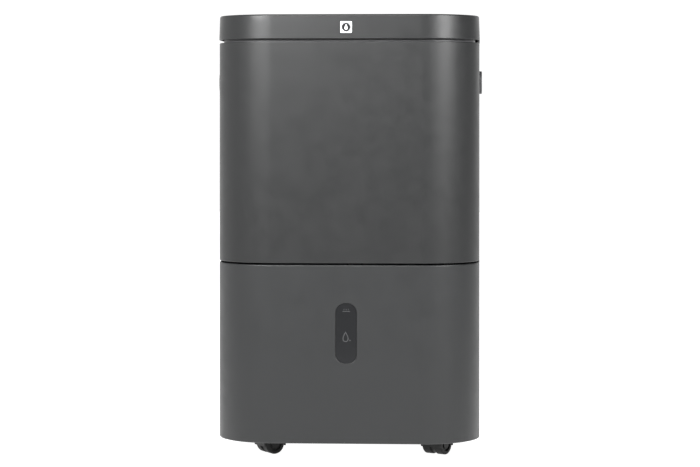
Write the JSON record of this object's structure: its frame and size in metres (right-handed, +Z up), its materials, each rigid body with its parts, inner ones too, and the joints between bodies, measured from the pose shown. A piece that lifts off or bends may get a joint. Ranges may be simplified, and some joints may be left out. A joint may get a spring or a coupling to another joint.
{
  "type": "dehumidifier",
  "caption": "Tall rounded cabinet dehumidifier on twin-wheel castors, with a pull-out water bucket, level window, top controls and louvred air outlet.",
  "frame": {"origin": "on the floor, under the middle of the cabinet's plan", "axes": "+Z up, -Y out of the front (the bucket side), +X to the right of someone facing the front"},
  "size_m": [0.365, 0.2781, 0.6007],
  "materials": {
    "casing": "satin, finely grained",
    "trim": "matte, finely grained",
    "badge": "satin silver",
    "panel": "high gloss",
    "button": "satin",
    "board": "circuit board",
    "motor_can": "zinc plated",
    "screw": "black zinc",
    "filter_screen": "fine woven screen",
    "moulding": "natural moulding",
    "stopper": "matte",
    "compressor": "black enamel",
    "fins": "bright mill",
    "copper": "bright copper tube",
    "blower": "glass-filled moulding",
    "shaft": "ground",
    "window": "smoked, polished",
    "tub": "translucent natural moulding",
    "bail": "satin",
    "float": "natural foam-filled",
    "castor": "satin black",
    "castor_wheel": "hard nylon"
  },
  "bodies": {
    "cabinet": {"lid_shell": "casing", "lid_badge": "badge", "control_panel": "panel", "display_board": "board", "outlet_frame": "trim", "louvre_motor": "motor_can", "top_frame": "trim", "front_casing": "casing", "rear_casing": "casing", "side_grips": "trim", "casing_screws": "screw", "base_pan": "trim", "chassis_tray": "moulding", "compressor": "compressor", "compressor_feet": "stopper", "refrigerant_pipes": "copper", "fan_scroll": "moulding", "outlet_duct": "moulding", "fan_motor": "motor_can", "control_box": "moulding", "cord_gland": "stopper", "condenser_fins": "fins", "condenser_tubes": "copper", "evaporator_fins": "fins", "evaporator_tubes": "copper"},
    "rear_door": {"intake_grille": "trim", "filter_frame": "trim", "filter_mesh": "filter_screen"},
    "fan": {"fan_wheel": "blower", "motor_shaft": "shaft"},
    "bucket": {"bucket_front": "casing", "level_window": "window", "bucket_tub": "tub", "bucket_lid": "tub"},
    "bail": {"bucket_handle": "bail"},
    "float": {"float": "float"},
    "drain_stopper": {"drain_plug": "stopper"},
    "louvre_bar": {"louvre_link": "trim"},
    "louvre_1": {"louvre_1": "trim"},
    "louvre_2": {"louvre_2": "trim"},
    "louvre_3": {"louvre_3": "trim"},
    "louvre_4": {"louvre_4": "trim"},
    "button_power": {"button_power": "button"},
    "button_mode": {"button_mode": "button"},
    "button_fan": {"button_fan": "button"},
    "button_timer": {"button_timer": "button"},
    "button_minus": {"button_minus": "button"},
    "button_plus": {"button_plus": "button"},
    "castor_front_left": {"castor_front_left": "castor"},
    "castor_front_left_wheel_a": {"castor_front_left_wheel_a": "castor_wheel"},
    "castor_front_left_wheel_b": {"castor_front_left_wheel_b": "castor_wheel"},
    "castor_front_right": {"castor_front_right": "castor"},
    "castor_front_right_wheel_a": {"castor_front_right_wheel_a": "castor_wheel"},
    "castor_front_right_wheel_b": {"castor_front_right_wheel_b": "castor_wheel"},
    "castor_rear_left": {"castor_rear_left": "castor"},
    "castor_rear_left_wheel_a": {"castor_rear_left_wheel_a": "castor_wheel"},
    "castor_rear_left_wheel_b": {"castor_rear_left_wheel_b": "castor_wheel"},
    "castor_rear_right": {"castor_rear_right": "castor"},
    "castor_rear_right_wheel_a": {"castor_rear_right_wheel_a": "castor_wheel"},
    "castor_rear_right_wheel_b": {"castor_rear_right_wheel_b": "castor_wheel"}
  },
  "joints": [
    {"name": "fan_spin", "type": "hinge", "parent": "cabinet", "child": "fan", "pos_m": [0.014, 0, 0.43], "axis": [0, 1, 0], "continuous": true},
    {"name": "bucket_slide", "type": "slide", "parent": "cabinet", "child": "bucket", "axis": [0, -1, 0], "range_m": [0, 0.27]},
    {"name": "bail_swing", "type": "hinge", "parent": "bucket", "child": "bail", "pos_m": [0, -0.03, 0.222], "axis": [-1, 0, 0], "range_deg": [0, 90]},
    {"name": "float_swing", "type": "hinge", "parent": "bucket", "child": "float", "pos_m": [0.133, 0.05, 0.214], "axis": [1, 0, 0], "range_deg": [0, 15]},
    {"name": "rear_door_hinge", "type": "hinge", "parent": "cabinet", "child": "rear_door", "pos_m": [0, 0.1324, 0.299], "axis": [-1, 0, 0], "range_deg": [0, 75]},
    {"name": "drain_stopper_pull", "type": "slide", "parent": "cabinet", "child": "drain_stopper", "axis": [0, 1, 0], "range_m": [0, 0.03]},
    {"name": "louvre_1_tilt", "type": "hinge", "parent": "cabinet", "child": "louvre_1", "pos_m": [0, 0.0174, 0.587], "axis": [1, 0, 0], "range_deg": [0, 80]},
    {"name": "louvre_2_tilt", "type": "hinge", "parent": "cabinet", "child": "louvre_2", "pos_m": [0, 0.0338, 0.587], "axis": [1, 0, 0], "range_deg": [0, 80]},
    {"name": "louvre_3_tilt", "type": "hinge", "parent": "cabinet", "child": "louvre_3", "pos_m": [0, 0.0502, 0.587], "axis": [1, 0, 0], "range_deg": [0, 80]},
    {"name": "louvre_4_tilt", "type": "hinge", "parent": "cabinet", "child": "louvre_4", "pos_m": [0, 0.0666, 0.587], "axis": [1, 0, 0], "range_deg": [0, 80]},
    {"name": "louvre_bar_pivot", "type": "hinge", "parent": "louvre_1", "child": "louvre_bar", "pos_m": [-0.106, 0.01226, 0.58087], "axis": [1, 0, 0], "range_deg": [-80, 0]},
    {"name": "button_power_press", "type": "slide", "parent": "cabinet", "child": "button_power", "axis": [0, 0, -1], "range_m": [0, 0.0008], "stiffness_N_per_m": 400},
    {"name": "button_mode_press", "type": "slide", "parent": "cabinet", "child": "button_mode", "axis": [0, 0, -1], "range_m": [0, 0.0008], "stiffness_N_per_m": 400},
    {"name": "button_fan_press", "type": "slide", "parent": "cabinet", "child": "button_fan", "axis": [0, 0, -1], "range_m": [0, 0.0008], "stiffness_N_per_m": 400},
    {"name": "button_timer_press", "type": "slide", "parent": "cabinet", "child": "button_timer", "axis": [0, 0, -1], "range_m": [0, 0.0008], "stiffness_N_per_m": 400},
    {"name": "button_minus_press", "type": "slide", "parent": "cabinet", "child": "button_minus", "axis": [0, 0, -1], "range_m": [0, 0.0008], "stiffness_N_per_m": 400},
    {"name": "button_plus_press", "type": "slide", "parent": "cabinet", "child": "button_plus", "axis": [0, 0, -1], "range_m": [0, 0.0008], "stiffness_N_per_m": 400},
    {"name": "castor_front_left_swivel", "type": "hinge", "parent": "cabinet", "child": "castor_front_left", "pos_m": [-0.116, -0.075, 0.045], "axis": [0, 0, 1], "continuous": true},
    {"name": "castor_front_left_wheel_a_spin", "type": "hinge", "parent": "castor_front_left", "child": "castor_front_left_wheel_a", "pos_m": [-0.11335, -0.06226, 0.014], "axis": [0.5299, -0.848, 0], "continuous": true},
    {"name": "castor_front_left_wheel_b_spin", "type": "hinge", "parent": "castor_front_left", "child": "castor_front_left_wheel_b", "pos_m": [-0.10339, -0.0782, 0.014], "axis": [0.5299, -0.848, 0], "continuous": true},
    {"name": "castor_front_right_swivel", "type": "hinge", "parent": "cabinet", "child": "castor_front_right", "pos_m": [0.116, -0.075, 0.045], "axis": [0, 0, 1], "continuous": true},
    {"name": "castor_front_right_wheel_a_spin", "type": "hinge", "parent": "castor_front_right", "child": "castor_front_right_wheel_a", "pos_m": [0.1128, -0.06239, 0.014], "axis": [0.848, -0.5299, 0], "continuous": true},
    {"name": "castor_front_right_wheel_b_spin", "type": "hinge", "parent": "castor_front_right", "child": "castor_front_right_wheel_b", "pos_m": [0.12874, -0.07235, 0.014], "axis": [0.848, -0.5299, 0], "continuous": true},
    {"name": "castor_rear_left_swivel", "type": "hinge", "parent": "cabinet", "child": "castor_rear_left", "pos_m": [-0.116, 0.088, 0.045], "axis": [0, 0, 1], "continuous": true},
    {"name": "castor_rear_left_wheel_a_spin", "type": "hinge", "parent": "castor_rear_left", "child": "castor_rear_left_wheel_a", "pos_m": [-0.11742, 0.10094, 0.014], "axis": [0.766, -0.6428, 0], "continuous": true},
    {"name": "castor_rear_left_wheel_b_spin", "type": "hinge", "parent": "castor_rear_left", "child": "castor_rear_left_wheel_b", "pos_m": [-0.10301, 0.08885, 0.014], "axis": [0.766, -0.6428, 0], "continuous": true},
    {"name": "castor_rear_right_swivel", "type": "hinge", "parent": "cabinet", "child": "castor_rear_right", "pos_m": [0.116, 0.088, 0.045], "axis": [0, 0, 1], "continuous": true},
    {"name": "castor_rear_right_wheel_a_spin", "type": "hinge", "parent": "castor_rear_right", "child": "castor_rear_right_wheel_a", "pos_m": [0.11997, 0.10039, 0.014], "axis": [0.4384, -0.8988, 0], "continuous": true},
    {"name": "castor_rear_right_wheel_b_spin", "type": "hinge", "parent": "castor_rear_right", "child": "castor_rear_right_wheel_b", "pos_m": [0.12821, 0.0835, 0.014], "axis": [0.4384, -0.8988, 0], "continuous": true}
  ],
  "couplings": [
    {"joint": "bail_swing", "follows": "bucket_slide", "rad_per_m": 5.8178},
    {"joint": "louvre_2_tilt", "follows": "louvre_1_tilt", "ratio": 1},
    {"joint": "louvre_3_tilt", "follows": "louvre_1_tilt", "ratio": 1},
    {"joint": "louvre_4_tilt", "follows": "louvre_1_tilt", "ratio": 1},
    {"joint": "louvre_bar_pivot", "follows": "louvre_1_tilt", "ratio": -1}
  ]
}
